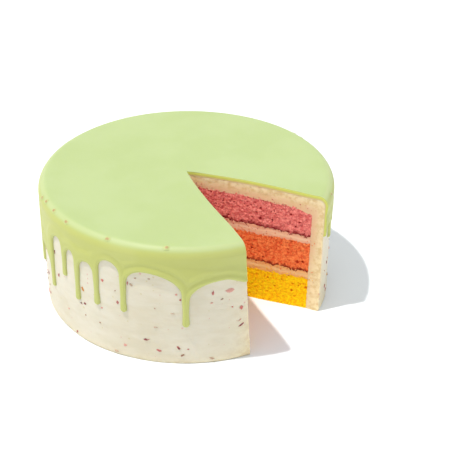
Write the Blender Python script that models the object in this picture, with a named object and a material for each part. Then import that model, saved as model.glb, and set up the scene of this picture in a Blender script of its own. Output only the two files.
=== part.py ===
"""Round layer cake under a poured glaze that runs down its side in drips, with one eighth cut out.

Three sponges with two fillings of buttercream between them stand in a coat of the same cream, which holds
flecks of dried fruit. The glaze lies over the top and ends in a wavy lip with long drips. The origin is on
the cake's axis at its base, +Z is up, angles run anticlockwise from +X, and sizes are in metres."""

import math
import random
from collections import namedtuple

import bmesh
import bpy
from mathutils import Matrix, Vector

# Outside of the cake
CAKE_RADIUS = 0.110
CAKE_HEIGHT = 0.096
GAP = 0.0003

# Layers, each by the height of its top above the base
SPONGE_RADIUS = 0.0985
YELLOW_TOP = 0.0250
LOWER_CREAM_TOP = 0.0325
ORANGE_TOP = 0.0545
UPPER_CREAM_TOP = 0.0615
PINK_TOP = 0.0828
PINK_SHOULDER = 0.0035
SHOULDER_POWER = 12

# How the faces between layers undulate: the height of the waves, and each wave's turns in radians for a metre
# along X and along Y, with its share of the height
LAYER_WAVE = 0.0009
LAYER_WAVES = ((52, 0, 0.4), (0, 67, 0.4), (95, -95, 0.2))
WAVE_SHIFT = 400

# Glaze: its thickness, the round of its lip, and the radius of the cream's top edge under it
TOP_GLAZE = 0.0026
SIDE_GLAZE = 0.0017
LIP_ROUND = 0.0025
CREAM_EDGE = 0.0050
COAT_TOP = CAKE_HEIGHT - TOP_GLAZE - GAP
COAT_RADIUS = CAKE_RADIUS - SIDE_GLAZE - GAP
COAT_FOOT_RADIUS = COAT_RADIUS + 0.0005
EDGE_FOOT = COAT_TOP - CREAM_EDGE
FOOT_ROUND = 0.0012

# The cut: the angles of its two faces at the top and at the foot, and how far the knife bowed into the cake
# from a straight line, out to which radius. At the foot of the first face it bowed the other way.
START_TOP = math.radians(-21.0)
START_FOOT = math.radians(-23.8)
START_TOP_BOW = 0.0030
START_FOOT_BOW = -0.0035
START_BOW_REACH = 0.095
END_TOP = math.radians(293.2)
END_FOOT = math.radians(296.1)
END_BOW = 0.0014
END_BOW_REACH = 0.085
CUT_FADE = math.radians(30)

# Mesh density: radii as parts of a layer's radius, columns round the cake, steps along the glaze's curves,
# and the widest angle between two stations of a drip, which has at least four strips
LAYER_RINGS = (0, 0.35, 0.65, 0.88, 0.96, 1)
LAYER_COLUMNS = 30
COAT_COLUMNS = 72
EDGE_STEPS = 3
BAND_STEPS = (0.5, 0.85, 1)
WIDEST_STRIP = math.radians(5)
ARCH_STEPS = 3
TIP_STEPS = 3
LIP_STEPS = 3

# Drips: half-width at the neck, at the waist and at the bulb of the tip; the depth of the arch of cream
# beside one, which grows with its width up to a part of the drip's length; and how far down the waist is
NECK = 0.0026
WAIST = 0.0021
BULB = 0.0025
ARCH_DEPTH = 0.0050
ARCH_SLOPE = 0.45
MOST_OF_DRIP = 0.6
WAIST_PART = 0.6

Drip = namedtuple("Drip", "angle tip")
Arch = namedtuple("Arch", "angle top")

# The drips and arches on the front left, in degrees and metres, from the far left round to the cut
FRONT_DRIPS = (
    (190.5, 0.030), (207.8, 0.027), (218.3, 0.047), (226.2, 0.034),
    (236.1, 0.038), (247.7, 0.039), (270.9, 0.032),
)
FRONT_ARCHES = (
    (197.5, 0.054), (215.0, 0.0755), (223.1, 0.0725), (231.9, 0.070),
    (241.8, 0.078), (256.0, 0.0748), (285.0, 0.069),
)
LIP_AT_CUT = 0.064

# The drips round the back follow a seeded rule: the first arch and drip after the cut, the share of an even
# step from one drip to the next, where the arch stands between them, and the heights of tips and arches
BACK_SEED = 11
BACK_DRIPS = 16
FIRST_ARCH = START_TOP + math.radians(4)
FIRST_DRIP = START_TOP + math.radians(8)
BACK_STEPS = (0.55, 1.45)
BACK_MIDDLES = (0.4, 0.6)
BACK_TIPS = (0.026, 0.056)
BACK_ARCHES = (0.064, 0.078)

# Flecks of fruit that stand out of the cream. The largest at the front, each by its angle in degrees, its
# height, its half length, its half width and its lean in degrees
FRONT_FLECKS = (
    (212.5, 0.0414, 0.0017, 0.0008, 80), (223.8, 0.0035, 0.0012, 0.0009, 60),
    (228.6, 0.0451, 0.0021, 0.0010, 115), (229.4, 0.0330, 0.0011, 0.0009, 0),
    (238.9, 0.0601, 0.0012, 0.0010, 70), (245.2, 0.0455, 0.0013, 0.0009, 80),
    (247.6, 0.0104, 0.0014, 0.0011, 40), (250.9, 0.0629, 0.0013, 0.0008, -30),
    (255.9, 0.0188, 0.0014, 0.0010, 10), (260.9, 0.0108, 0.0016, 0.0009, -10),
    (268.2, 0.0138, 0.0018, 0.0009, -55), (279.2, 0.0038, 0.0018, 0.0008, -30),
    (280.4, 0.0591, 0.0016, 0.0008, 85), (286.5, 0.0596, 0.0027, 0.0017, 10),
    (290.4, 0.0432, 0.0015, 0.0013, 60), (290.1, 0.0289, 0.0021, 0.0007, 35),
)
FLECK_PROUD = 0.0005
FLECK_SIDES = 6

# The flecks round the back follow a seeded rule, with one draw for each fleck that may be there
FLECK_SEED = 500
FLECK_DRAWS = 150
FLECK_FROM_CUT = math.radians(4)
LAST_BACK_FLECK = math.radians(200)
FLECK_HEIGHTS = (0.005, 0.070)
FLECK_LENGTHS = (0.0010, 0.0020)
FLECK_SLIMNESS = (0.45, 0.9)
FLECK_SPACING = 0.006

COLOURS = {
    "sponge_yellow": (0.95, 0.52, 0.04),
    "cream_lower": (0.85, 0.76, 0.60),
    "sponge_orange": (0.85, 0.22, 0.09),
    "cream_upper": (0.85, 0.76, 0.60),
    "sponge_pink": (0.75, 0.22, 0.25),
    "cream_coat": (0.86, 0.80, 0.68),
    "glaze": (0.66, 0.78, 0.38),
}
ROUGHNESS = {"glaze": 0.25}
CRUMB_ROUGHNESS = 0.8


def mix(a, b, part):
    return a + (b - a) * part


def ease(part):
    """0 to 1 with level ends."""
    part = min(max(part, 0), 1)
    return part * part * (3 - 2 * part)


def bow_angle(radius, bow, reach):
    """The angle by which a cut face bowed `bow` metres off its line stands aside at this radius."""
    if radius < 1e-6:
        return bow * math.pi / reach
    return bow * math.sin(math.pi * min(radius / reach, 1)) / radius


def start_angle(radius, height):
    up = height / CAKE_HEIGHT
    bow = mix(START_FOOT_BOW, START_TOP_BOW, up)
    return mix(START_FOOT, START_TOP, up) + bow_angle(radius, bow, START_BOW_REACH)


def end_angle(radius, height):
    leaning = mix(END_FOOT, END_TOP, height / CAKE_HEIGHT)
    return leaning - bow_angle(radius, END_BOW, END_BOW_REACH)


def place(angle, radius, height):
    """A point of the cake. Near the cut the angle gives way, so that the end columns lie on its faces."""
    near_start = ease((START_TOP + CUT_FADE - angle) / CUT_FADE)
    near_end = ease((angle - END_TOP + CUT_FADE) / CUT_FADE)
    turned = angle
    turned += near_start * (start_angle(radius, height) - START_TOP)
    turned += near_end * (end_angle(radius, height) - END_TOP)
    return Vector((radius * math.cos(turned), radius * math.sin(turned), height))


def columns(count):
    return [mix(START_TOP, END_TOP, step / count) for step in range(count + 1)]


def layer_height(base, radius, angle):
    """Height of the face between two layers, which undulates as hand-spread layers do."""
    x = radius * math.cos(angle)
    y = radius * math.sin(angle)
    height = base
    for along_x, along_y, share in LAYER_WAVES:
        height += LAYER_WAVE * share * math.sin(along_x * x + along_y * y + WAVE_SHIFT * base)
    if base == PINK_TOP:
        height -= PINK_SHOULDER * (radius / SPONGE_RADIUS) ** SHOULDER_POWER
    return height


def wall_radius(height):
    """The cream's side, a little wider at the foot."""
    return mix(COAT_FOOT_RADIUS, COAT_RADIUS, min(height / EDGE_FOOT, 1))


def add_grid(mesh, rows):
    """Quads between rows of points. Points that fall together are welded later."""
    made = [[mesh.verts.new(point) for point in row] for row in rows]
    for above, below in zip(made, made[1:]):
        for k in range(len(above) - 1):
            mesh.faces.new((above[k], above[k + 1], below[k + 1], below[k]))


def add_face(mesh, loop):
    mesh.faces.new([mesh.verts.new(point) for point in loop])


def finish_solid(mesh, name):
    """Welds the faces into one closed body and puts it in the scene with its own material."""
    bmesh.ops.remove_doubles(mesh, verts=mesh.verts, dist=1e-6)
    bmesh.ops.triangulate(mesh, faces=[face for face in mesh.faces if len(face.verts) > 4])
    bmesh.ops.recalc_face_normals(mesh, faces=mesh.faces)
    data = bpy.data.meshes.new(name)
    mesh.to_mesh(data)
    mesh.free()
    data.shade_smooth()
    data.set_sharp_from_angle(angle=math.radians(35))
    material = bpy.data.materials.new(name)
    material.use_nodes = True
    shader = material.node_tree.nodes["Principled BSDF"]
    shader.inputs["Base Color"].default_value = (*COLOURS[name], 1)
    shader.inputs["Roughness"].default_value = ROUGHNESS.get(name, CRUMB_ROUGHNESS)
    data.materials.append(material)
    solid = bpy.data.objects.new(name, data)
    bpy.context.scene.collection.objects.link(solid)
    return solid


def layer_face(base, offset, rim):
    """The points of one level face of a layer, in rows from the axis out to the rim."""
    rows = []
    for ring in LAYER_RINGS:
        radius = ring * SPONGE_RADIUS
        angles = columns(LAYER_COLUMNS)
        heights = [layer_height(base, radius, angle) + offset if base else 0 for angle in angles]
        reached = rim if ring == 1 else radius
        rows.append([place(angle, reached, height) for angle, height in zip(angles, heights)])
    return rows


def build_layer(name, bottom, top):
    """A sponge or a filling: a flat round with its cut faces, half a gap clear of the layers next to it."""
    lower = layer_face(bottom, GAP / 2, SPONGE_RADIUS)
    upper = layer_face(top, -GAP / 2, SPONGE_RADIUS)
    mesh = bmesh.new()
    add_grid(mesh, lower)
    add_grid(mesh, upper)
    add_grid(mesh, (lower[-1], upper[-1]))
    for column in (0, -1):
        add_grid(mesh, ([row[column] for row in lower], [row[column] for row in upper]))
    return finish_solid(mesh, name)


def edge_profile(reach_out, reach_up, steps):
    """The rounded top edge as (radius, height) points, from the top down to the side."""
    turns = [math.pi / 2 * step / steps for step in range(steps + 1)]
    centre = COAT_RADIUS - CREAM_EDGE
    return [(centre + reach_out * math.sin(turn), EDGE_FOOT + reach_up * math.cos(turn)) for turn in turns]


def top_face(mesh, ring, radius, height):
    """A level face from the axis out to a ring of points, with the cut's two bowed edges."""
    stops = [part * radius for part in LAYER_RINGS[1:-2]]
    start = [place(START_TOP, stop, height) for stop in stops]
    end = [place(END_TOP, stop, height) for stop in reversed(stops)]
    add_face(mesh, [Vector((0, 0, height)), *start, *ring, *end])
    return start, list(reversed(end))


def build_coat():
    """The cream on top of and round the layers, open at its two cut faces."""
    angles = columns(COAT_COLUMNS)
    profile = edge_profile(CREAM_EDGE, CREAM_EDGE, EDGE_STEPS)
    profile.append((wall_radius(FOOT_ROUND), FOOT_ROUND))
    profile.append((wall_radius(0) - FOOT_ROUND / 2, 0))
    outside = [[place(angle, radius, height) for angle in angles] for radius, height in profile]
    inner_radius = SPONGE_RADIUS + GAP
    under = layer_face(PINK_TOP, GAP / 2, inner_radius)
    inner_foot = [place(angle, inner_radius, 0) for angle in columns(LAYER_COLUMNS)]
    mesh = bmesh.new()
    start, end = top_face(mesh, outside[0], *profile[0])
    add_grid(mesh, outside)
    add_grid(mesh, under)
    add_grid(mesh, (under[-1], inner_foot))
    add_face(mesh, [*outside[-1], *reversed(inner_foot)])
    axis_top = Vector((0, 0, COAT_TOP))
    for column, edge in ((0, start), (-1, end)):
        outer_path = [axis_top, *edge, *(row[column] for row in outside)]
        inner_path = [*(row[column] for row in under), inner_foot[column]]
        add_face(mesh, [*outer_path, *reversed(inner_path)])
    return finish_solid(mesh, "cream_coat")


def back_rim():
    """Drips and arches round the back, from the cut to the far left, with uneven steps and lengths."""
    draw = random.Random(BACK_SEED)
    last = math.radians(FRONT_DRIPS[0][0])
    steps = [draw.uniform(*BACK_STEPS) for _ in range(BACK_DRIPS)]
    drips = []
    for k in range(BACK_DRIPS):
        angle = mix(FIRST_DRIP, last, sum(steps[:k]) / sum(steps))
        drips.append(Drip(angle, draw.uniform(*BACK_TIPS)))
    arches = [Arch(FIRST_ARCH, mix(*BACK_ARCHES, 0.5))]
    for k in range(BACK_DRIPS):
        after = drips[k + 1].angle if k + 1 < BACK_DRIPS else last
        middle = mix(drips[k].angle, after, draw.uniform(*BACK_MIDDLES))
        arches.append(Arch(middle, draw.uniform(*BACK_ARCHES)))
    return drips, arches


def whole_rim():
    drips, arches = back_rim()
    drips += [Drip(math.radians(angle), tip) for angle, tip in FRONT_DRIPS]
    arches += [Arch(math.radians(angle), top) for angle, top in FRONT_ARCHES]
    return drips, arches


def drip_side(arch, drip, side):
    """One side of a drip, as (angle, height) points from the top of the arch beside it down to its tip."""
    neck = drip.angle + side * NECK / CAKE_RADIUS
    reach = abs(arch.angle - neck) * CAKE_RADIUS
    depth = min(ARCH_DEPTH + ARCH_SLOPE * reach, MOST_OF_DRIP * (arch.top - drip.tip))
    points = []
    for step in range(ARCH_STEPS + 1):
        turn = math.pi / 2 * step / ARCH_STEPS
        points.append((mix(arch.angle, neck, math.sin(turn)), arch.top - depth * (1 - math.cos(turn))))
    waist_height = mix(arch.top - depth, drip.tip + BULB, WAIST_PART)
    points.append((drip.angle + side * WAIST / CAKE_RADIUS, waist_height))
    for step in range(TIP_STEPS + 1):
        turn = math.pi / 2 * step / TIP_STEPS
        half_width = BULB * math.cos(turn)
        points.append((drip.angle + side * half_width / CAKE_RADIUS, drip.tip + BULB * (1 - math.sin(turn))))
    return points


def stations(width):
    """Parts across a drip, closer at its two sides, with enough of them on a wide one to follow the round."""
    count = max(4, math.ceil(width / WIDEST_STRIP))
    return [(1 - math.cos(math.pi * step / count)) / 2 for step in range(count + 1)]


def lip_run(angle_a, height_a, angle_b, height_b):
    """The lip between the cut and the arch next to it."""
    parts = [step / LIP_STEPS for step in range(LIP_STEPS + 1)]
    return [(mix(angle_a, angle_b, part), mix(height_a, height_b, ease(part))) for part in parts]


def glaze_outline():
    """The lip as one line of (angle, height) points, the columns of the band, and each drip's rows."""
    drips, arches = whole_rim()
    start = lip_run(START_TOP, LIP_AT_CUT, *arches[0])
    end = lip_run(*arches[-1], END_TOP, LIP_AT_CUT)
    lip = list(start)
    band = list(start)
    petals = []
    for left, drip, right in zip(arches, drips, arches[1:]):
        left_side = drip_side(left, drip, -1)
        right_side = drip_side(right, drip, 1)
        across = stations(right.angle - left.angle)
        rows = []
        for (angle_a, height_a), (angle_b, height_b) in zip(left_side, right_side):
            rows.append([(mix(angle_a, angle_b, part), mix(height_a, height_b, part)) for part in across])
        petals.append(rows)
        band += rows[0][1:]
        lip += left_side[1:] + right_side[-2::-1]
    return lip + end[1:], band + end[1:], petals


def distance_to_lip(lip, angle, height):
    """How far a point of the side is from the lip, along the surface."""
    nearest = 1.0
    for (angle_a, height_a), (angle_b, height_b) in zip(lip, lip[1:]):
        along_x = (angle_b - angle_a) * CAKE_RADIUS
        along_y = height_b - height_a
        from_x = (angle - angle_a) * CAKE_RADIUS
        from_y = height - height_a
        length = along_x * along_x + along_y * along_y
        part = (from_x * along_x + from_y * along_y) / length
        part = min(max(part, 0), 1)
        nearest = min(nearest, math.hypot(from_x - part * along_x, from_y - part * along_y))
    return nearest


def glaze_thickness(distance):
    """Full thickness on the side, rolling off to nothing at the lip."""
    short = 1 - min(distance / LIP_ROUND, 1)
    return SIDE_GLAZE * math.sqrt(1 - short * short)


def build_glaze():
    """The glaze in one body: the top, the rounded edge, the band down the side and the drips."""
    lip, band, petals = glaze_outline()
    mesh = bmesh.new()
    cut_paths = []
    for proud, side, up in ((True, SIDE_GLAZE, TOP_GLAZE), (False, 0, 0)):
        profile = edge_profile(CREAM_EDGE + GAP + side, CREAM_EDGE + GAP + up, EDGE_STEPS)
        rows = [[place(angle, radius, height) for angle, _ in band] for radius, height in profile]
        start, end = top_face(mesh, rows[0], *profile[0])
        for part in BAND_STEPS:
            down = [(angle, mix(EDGE_FOOT, height, part)) for angle, height in band]
            rows.append([side_point(lip, angle, height, proud) for angle, height in down])
        add_grid(mesh, rows)
        for petal in petals:
            add_grid(mesh, [[side_point(lip, angle, height, proud) for angle, height in row] for row in petal])
        axis = Vector((0, 0, profile[0][1]))
        cut_paths.append([[axis, *edge, *(row[k] for row in rows)] for k, edge in ((0, start), (-1, end))])
    for outer_path, inner_path in zip(*cut_paths):
        add_grid(mesh, (outer_path, inner_path))
    return finish_solid(mesh, "glaze")


def side_point(lip, angle, height, proud):
    """A point on the back of the glaze where it lies on the cream's side or, if proud, on its face."""
    thickness = glaze_thickness(distance_to_lip(lip, angle, height)) if proud else 0
    return place(angle, wall_radius(height) + GAP + thickness, height)


def under_glaze(lip, angle, height):
    """Whether this point of the side is covered: a line up from the base has then crossed the lip once more
    out than in."""
    crossings = 0
    for (angle_a, height_a), (angle_b, height_b) in zip(lip, lip[1:]):
        if (angle_a > angle) != (angle_b > angle):
            crossing = mix(height_a, height_b, (angle - angle_a) / (angle_b - angle_a))
            crossings += crossing < height
    return crossings % 2 == 1


def back_flecks():
    """Flecks on the bare cream round the back, clear of the glaze, the cut, the foot and each other."""
    lip, _, _ = glaze_outline()
    flecks = []
    for number in range(FLECK_DRAWS):
        draw = random.Random(FLECK_SEED + number)
        angle = draw.uniform(START_TOP + FLECK_FROM_CUT, LAST_BACK_FLECK)
        height = draw.uniform(*FLECK_HEIGHTS)
        length = draw.uniform(*FLECK_LENGTHS)
        width = length * draw.uniform(*FLECK_SLIMNESS)
        lean = draw.uniform(-90, 90)
        away = [math.hypot((angle - other[0]) * COAT_RADIUS, height - other[1]) for other in flecks]
        clear = distance_to_lip(lip, angle, height) > length + 2 * GAP
        if clear and not under_glaze(lip, angle, height) and min(away, default=1) > FLECK_SPACING:
            flecks.append((angle, height, length, width, lean))
    return flecks


def fleck_mesh(length, width):
    """A low fleck: a six-sided ring with a crown over it and a root under it. Its outside is at +Z."""
    mesh = bmesh.new()
    turns = [2 * math.pi * side / FLECK_SIDES for side in range(FLECK_SIDES)]
    ring = [mesh.verts.new((length * math.cos(turn), width * math.sin(turn), 0)) for turn in turns]
    crown = mesh.verts.new((0, 0, FLECK_PROUD))
    root = mesh.verts.new((0, 0, -2 * FLECK_PROUD))
    for k in range(FLECK_SIDES):
        mesh.faces.new((ring[k - 1], ring[k], crown))
        mesh.faces.new((ring[k], ring[k - 1], root))
    return mesh


def add_flecks(coat):
    """Sets the flecks in the cream's side and joins them to it."""
    flecks = bpy.data.collections.new("flecks")
    bpy.context.scene.collection.children.link(flecks)
    front = [(math.radians(angle), *rest) for angle, *rest in FRONT_FLECKS]
    for angle, height, length, width, lean in front + back_flecks():
        centre = place(angle, wall_radius(height) + FLECK_PROUD / 3, height)
        outward = Vector((centre.x, centre.y, 0)).normalized()
        level = Vector((-outward.y, outward.x, 0))
        facing = Matrix((level, Vector((0, 0, 1)), outward)).transposed().to_4x4()
        mesh = fleck_mesh(length, width)
        placing = Matrix.Translation(centre) @ facing @ Matrix.Rotation(math.radians(lean), 4, "Z")
        bmesh.ops.transform(mesh, matrix=placing, verts=mesh.verts)
        bmesh.ops.recalc_face_normals(mesh, faces=mesh.faces)
        data = bpy.data.meshes.new("fleck")
        mesh.to_mesh(data)
        mesh.free()
        flecks.objects.link(bpy.data.objects.new("fleck", data))
    union = coat.modifiers.new("flecks", "BOOLEAN")
    union.operation = "UNION"
    union.operand_type = "COLLECTION"
    union.collection = flecks
    union.solver = "EXACT"
    graph = bpy.context.evaluated_depsgraph_get()
    joined = bpy.data.meshes.new_from_object(coat.evaluated_get(graph))
    coat.modifiers.clear()
    coat.data = joined
    for fleck in list(flecks.objects):
        bpy.data.objects.remove(fleck)
    bpy.data.collections.remove(flecks)


for old in list(bpy.data.objects):
    bpy.data.objects.remove(old)
build_layer("sponge_yellow", 0, YELLOW_TOP)
build_layer("cream_lower", YELLOW_TOP, LOWER_CREAM_TOP)
build_layer("sponge_orange", LOWER_CREAM_TOP, ORANGE_TOP)
build_layer("cream_upper", ORANGE_TOP, UPPER_CREAM_TOP)
build_layer("sponge_pink", UPPER_CREAM_TOP, PINK_TOP)
add_flecks(build_coat())
build_glaze()
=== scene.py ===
"""A drip cake: three coloured sponges and two fillings of buttercream in a coat of the same cream, under a
poured green glaze that runs down the side, with one eighth cut out.

The sections follow the baker: each round in turn from the board up, the coat, the glaze, the fruit in the
cream, the fruit under the glaze, the crumbs on the cut, and last the table and the light. Lengths are in
metres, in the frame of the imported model: the cake's axis is Z, its base is at 0, and angles run
anticlockwise from +X."""

import math
import random

import bmesh
import bpy
from mathutils import Matrix, Vector, kdtree, noise


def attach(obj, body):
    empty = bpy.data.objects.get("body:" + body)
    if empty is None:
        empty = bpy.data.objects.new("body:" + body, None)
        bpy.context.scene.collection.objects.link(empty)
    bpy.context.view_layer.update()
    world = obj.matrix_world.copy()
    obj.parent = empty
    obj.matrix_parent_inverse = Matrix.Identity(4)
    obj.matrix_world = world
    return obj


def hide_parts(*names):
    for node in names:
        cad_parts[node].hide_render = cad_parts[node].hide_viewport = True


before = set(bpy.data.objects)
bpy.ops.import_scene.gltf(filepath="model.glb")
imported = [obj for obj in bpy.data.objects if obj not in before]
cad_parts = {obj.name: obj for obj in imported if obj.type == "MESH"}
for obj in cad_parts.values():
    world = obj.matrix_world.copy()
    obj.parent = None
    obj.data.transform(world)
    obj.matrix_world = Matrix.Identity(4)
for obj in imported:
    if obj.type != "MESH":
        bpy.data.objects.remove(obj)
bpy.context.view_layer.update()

# Bottom sponge: a round of yellow sponge baked in a tin, trimmed level and sliced with the rest of the
# cake. Its crumb shows on the two faces of the cut, where the knife opened pores of every size.

CAKE_RADIUS = 0.110
CAKE_HEIGHT = 0.096
GAP = 0.0003
SPONGE_RADIUS = 0.0985
YELLOW_TOP = 0.0250
PINK_TOP = 0.0828
PINK_SHOULDER = 0.0035
SHOULDER_POWER = 12

# How the faces between layers undulate: the height of the long waves, each wave's turns in radians for a
# metre along X and along Y with its share, and the short unevenness of hand spreading. The shifts set the
# layers apart from each other.
LAYER_WAVE = 0.0009
LAYER_WAVES = ((52, 0, 0.4), (0, 67, 0.4), (95, -95, 0.2))
WAVE_SHIFT = 400
UNEVEN_HEIGHT = 0.0006
UNEVEN_PER_METRE = 160
UNEVEN_SHIFT = 9

# The cut: the angles of its two faces at the top and the foot, how far the knife bowed into the cake and
# out to which radius, over what angle the cake's columns give way to the faces, and how near the axis the
# crumb is flat
START_TOP = math.radians(-21.0)
START_FOOT = math.radians(-23.8)
START_TOP_BOW = 0.0030
START_FOOT_BOW = -0.0035
START_BOW_REACH = 0.095
END_TOP = math.radians(293.2)
END_FOOT = math.radians(296.1)
END_BOW = 0.0014
END_BOW_REACH = 0.085
CUT_FADE = math.radians(30)
AXIS_CALM = 0.005

# Crumb: the mesh's strips out from the axis, up through a layer and round the cake; the depth and fineness
# of the grain; the spacing and depth of the clumps and how steep they are; the pores, each kind by the
# spacing, the widest radius and the depth; how far torn crumbs reach past the layer's edge, how fine they
# are and how many of them do; and the depth that counts as the darkest in the crumb's painted shade
SPONGE_RINGS = 236
SPONGE_LEVELS = 52
LAYER_STRIPS = 24
GRAIN_DEPTH = 0.00045
GRAIN_PER_METRE = 700
CLUMP_SPACING = 0.0017
CLUMP_DEPTH = 0.00065
CLUMP_STEEPNESS = 1.5
PORES = ((0.0048, 0.0014, 0.0013), (0.0026, 0.0008, 0.0008))
PORE_DRAW = 13.7
TORN_EDGE = 0.0014
TORN_PER_METRE = 380
TORN_SHARE = 0.15
DARKEST_SHADE_DEPTH = 0.0015
TINY = 1e-6

# The seed of the noise that stirs the clumps, which would else differ from run to run
STIR_SEED = 5
noise.seed_set(STIR_SEED)


def mix(a, b, part):
    return a + (b - a) * part


def ease(part):
    """0 to 1 with level ends."""
    part = min(max(part, 0), 1)
    return part * part * (3 - 2 * part)


def bow_angle(radius, bow, reach):
    """The angle by which a cut face bowed `bow` metres off its line stands aside at this radius."""
    if radius < TINY:
        return bow * math.pi / reach
    return bow * math.sin(math.pi * min(radius / reach, 1)) / radius


def uneven(spot, calm, octaves):
    """Noise about 0 in this many octaves, each twice as fine as the last and weaker by `calm`."""
    return noise.fractal(spot, calm, 2.0, octaves)


def place(angle, radius, height):
    """A point of the cake. Near the cut the angle gives way, so that the last columns lie on its faces."""
    near_start = ease((START_TOP + CUT_FADE - angle) / CUT_FADE)
    near_end = ease((angle - END_TOP + CUT_FADE) / CUT_FADE)
    turned = angle
    up = height / CAKE_HEIGHT
    if near_start:
        bow = mix(START_FOOT_BOW, START_TOP_BOW, up)
        face = mix(START_FOOT, START_TOP, up) + bow_angle(radius, bow, START_BOW_REACH)
        turned += near_start * (face - START_TOP)
    if near_end:
        face = mix(END_FOOT, END_TOP, up) - bow_angle(radius, END_BOW, END_BOW_REACH)
        turned += near_end * (face - END_TOP)
    return Vector((radius * math.cos(turned), radius * math.sin(turned), height))


def behind_knife(point, part, depth):
    """Moves a point of a cut face back into the cake, and leaves any other point where it is."""
    if part not in (0, 1):
        return point
    angle = START_TOP if part == 0 else END_TOP
    outward = Vector((math.sin(angle), -math.cos(angle), 0)) * (1 if part == 0 else -1)
    calm = ease(math.hypot(point.x, point.y) / AXIS_CALM)
    return point - outward * depth * calm


def layer_height(base, radius, angle):
    """Height of the face between two layers."""
    x = radius * math.cos(angle)
    y = radius * math.sin(angle)
    height = base
    for along_x, along_y, share in LAYER_WAVES:
        height += LAYER_WAVE * share * math.sin(along_x * x + along_y * y + WAVE_SHIFT * base)
    height += UNEVEN_HEIGHT * noise.noise(Vector((x, y, base * UNEVEN_SHIFT)) * UNEVEN_PER_METRE)
    if base == PINK_TOP:
        height -= PINK_SHOULDER * (radius / SPONGE_RADIUS) ** SHOULDER_POWER
    return height


def in_hole(at, spacing, widest):
    """How far inside a scattered hole a place lies, from 0 at its rim to 1 in its middle. The holes stand
    about `spacing` apart and are up to `widest` in radius."""
    distances, centres = noise.voronoi(at / spacing)
    share = min(2 * abs(noise.noise(centres[0] * PORE_DRAW)), 1)
    return max(0, 1 - distances[0] * spacing / max(widest * share, TINY))


def crumb(radius, height, part, seed):
    """How far the cut crumb at a place lies behind the knife's plane: rounded clumps, their grain, and
    pores."""
    at = Vector((radius, height, part + seed))
    depth = GRAIN_DEPTH * (0.5 + 0.5 * uneven(at * GRAIN_PER_METRE, 0.8, 3))
    stirred = at + noise.noise_vector(at * GRAIN_PER_METRE) * CLUMP_SPACING / 3
    depth += CLUMP_DEPTH * noise.voronoi(stirred / CLUMP_SPACING)[0][0] ** CLUMP_STEEPNESS
    for spacing, widest, deep in PORES:
        depth += deep * math.sqrt(in_hole(stirred, spacing, widest))
    return max(depth, 0)


def torn(radius, base, part):
    """How far torn crumbs reach past a layer's edge on the cut."""
    if part not in (0, 1):
        return 0
    ragged = uneven(Vector((radius, part, base)) * TORN_PER_METRE, 0.7, 3)
    return TORN_EDGE * max(0, ragged + TORN_SHARE)


def sew(faces, first, second):
    """Fills the strip between two rows of corners, each of them spread evenly from one end to the other."""
    last_a = len(first) - 1
    last_b = len(second) - 1
    a = b = 0
    while a < last_a or b < last_b:
        step_a = a < last_a and (a + 1) * last_b <= (b + 1) * last_a
        step_b = b < last_b and (b + 1) * last_a <= (a + 1) * last_b
        add_corners(faces, [first[a], first[a + step_a], second[b + step_b], second[b]])
        a += step_a
        b += step_b


def add_corners(faces, corners):
    """A face without the corners that fall together."""
    corners = list(dict.fromkeys(corners))
    if len(corners) > 2:
        faces.append(corners)


def closed_round(name, rings, levels, strips, point, marks=()):
    """A closed body that goes round the cake from one face of the cut to the other. Its rings run out from
    the axis, and its levels from the lower or inner skin to the upper or outer one. strips(ring, level)
    gives how many faces lie along a row, and point(ring, part, level) a place with a value for each of the
    marks."""
    places = []
    index = {}

    def corner(ring, part, level):
        key = (ring, part if ring else 0, level)
        if key not in index:
            index[key] = len(places)
            places.append(point(*key))
        return index[key]

    def row(ring, level):
        count = strips(ring, level)
        return [corner(ring, step / count, level) for step in range(count + 1)]

    faces = []
    for ring in range(rings):
        for level in (0, levels):
            sew(faces, row(ring, level), row(ring + 1, level))
        for level in range(levels):
            for part in (0, 1):
                square = ((ring, level), (ring + 1, level), (ring + 1, level + 1), (ring, level + 1))
                add_corners(faces, [corner(at, part, up) for at, up in square])
    for level in range(levels):
        sew(faces, row(rings, level), row(rings, level + 1))
    values = {mark: [spot[1][k] for spot in places] for k, mark in enumerate(marks)}
    return new_piece(name, [spot[0] for spot in places], faces, values)


def new_piece(name, places, faces, values, sharp=60):
    """Puts a mesh into the scene, riding on the cake, with its faces turned outward and its values as
    attributes. Edges that turn by more than `sharp` degrees stay sharp."""
    data = bpy.data.meshes.new(name)
    data.from_pydata(places, [], faces)
    for mark, numbers in values.items():
        data.attributes.new(mark, "FLOAT", "POINT").data.foreach_set("value", numbers)
    mesh = bmesh.new()
    mesh.from_mesh(data)
    bmesh.ops.recalc_face_normals(mesh, faces=mesh.faces)
    mesh.to_mesh(data)
    mesh.free()
    data.shade_smooth()
    data.set_sharp_from_angle(angle=math.radians(sharp))
    piece = bpy.data.objects.new(name, data)
    bpy.context.scene.collection.objects.link(piece)
    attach(piece, "root")
    return piece


def layer_strips(ring, level):
    """A layer has as many strips on every ring and level."""
    return LAYER_STRIPS


def sponge_round(name, bottom, top, seed):
    """A sponge with its crumb opened on the cut's faces. It is marked with how deep the crumb lies, to 1,
    which its finish paints as shade, and with the distance in millimetres to its underside, where its
    finish paints the browned skin together with the shadow of the gap under it."""

    def point(ring, part, level):
        angle = mix(START_TOP, END_TOP, part)
        radius = SPONGE_RADIUS * ring / SPONGE_RINGS
        low = layer_height(bottom, radius, angle) - torn(radius, bottom, part) if bottom else 0
        high = layer_height(top, radius, angle) + torn(radius, top, part)
        height = mix(low, high, level / SPONGE_LEVELS)
        depth = crumb(radius, height, part, seed) if part in (0, 1) else 0
        spot = behind_knife(place(angle, radius, height), part, depth)
        return spot, (min(depth / DARKEST_SHADE_DEPTH, 1), 1000 * (height - low))

    return closed_round(name, SPONGE_RINGS, SPONGE_LEVELS, layer_strips, point, ("depth", "to_underside"))


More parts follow.
